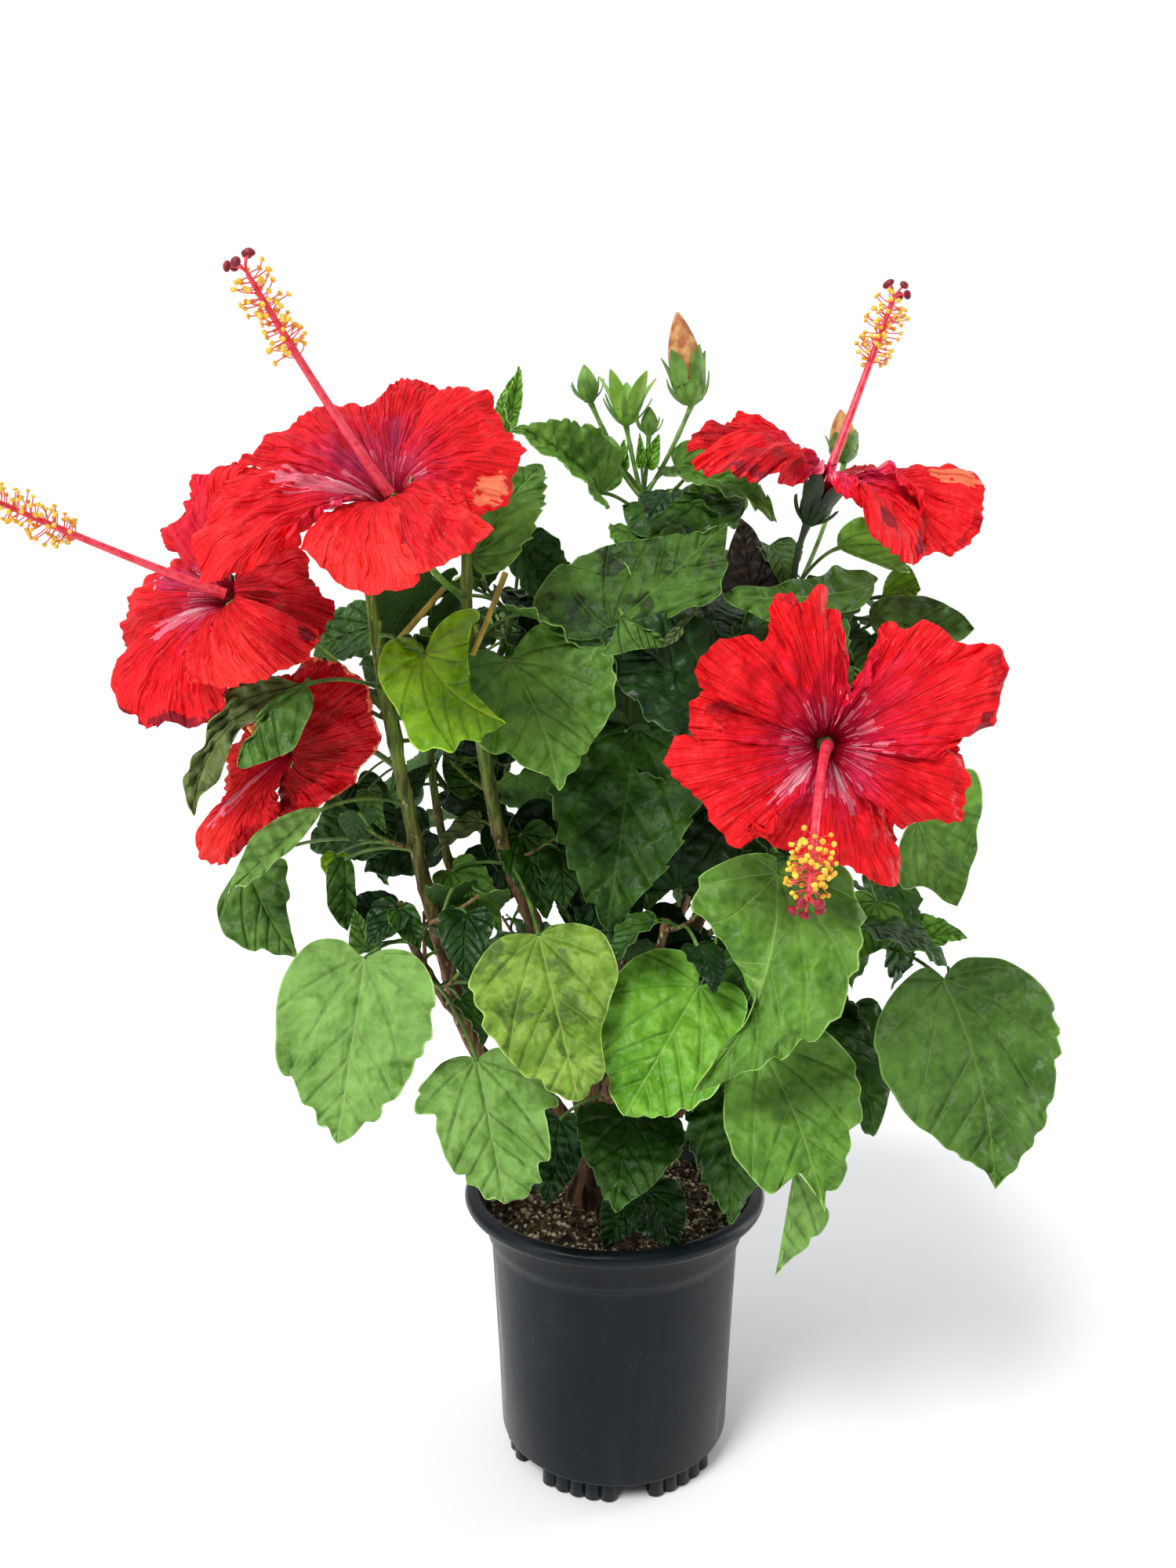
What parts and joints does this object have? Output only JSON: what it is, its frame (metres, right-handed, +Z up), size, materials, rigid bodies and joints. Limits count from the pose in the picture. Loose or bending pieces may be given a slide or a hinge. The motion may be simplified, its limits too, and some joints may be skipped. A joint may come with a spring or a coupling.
{
  "type": "hibiscus shrub in pot",
  "caption": "Red-flowered hibiscus shrub in a black nursery pot: short forked trunk, slender boughs, broad toothed leaves, large open blooms and upright buds.",
  "frame": {"origin": "middle of the pot's flat underside", "axes": "+Z up, -Y towards the front that the blooms face, +X to the right of that front"},
  "size_m": [0.4961, 0.3952, 0.6249],
  "materials": {
    "pot": "gloss",
    "soil": "matte",
    "bark": "matte",
    "bloom": "satin",
    "foliage": "satin"
  },
  "bodies": {
    "root": {"pot": "pot", "soil": "soil", "trunk": "bark", "left_bough": "bark", "middle_bough": "bark", "centre_bough": "bark", "right_bough": "bark", "back_left_bough": "bark", "back_right_bough": "bark", "low_left_bough": "bark", "low_front_bough": "bark", "low_right_bough": "bark", "low_back_bough": "bark", "bloom_top_left": "bloom", "bloom_left": "bloom", "bloom_upper_right": "bloom", "bloom_front_right": "bloom", "bloom_low_left": "bloom", "left_foliage": "foliage", "upper_left_foliage": "foliage", "top_foliage": "foliage", "right_foliage": "foliage", "back_left_foliage": "foliage", "back_right_foliage": "foliage", "low_left_foliage": "foliage", "low_front_foliage": "foliage", "low_right_foliage": "foliage", "low_back_foliage": "foliage", "soil_sprout": "foliage"}
  },
  "joints": []
}
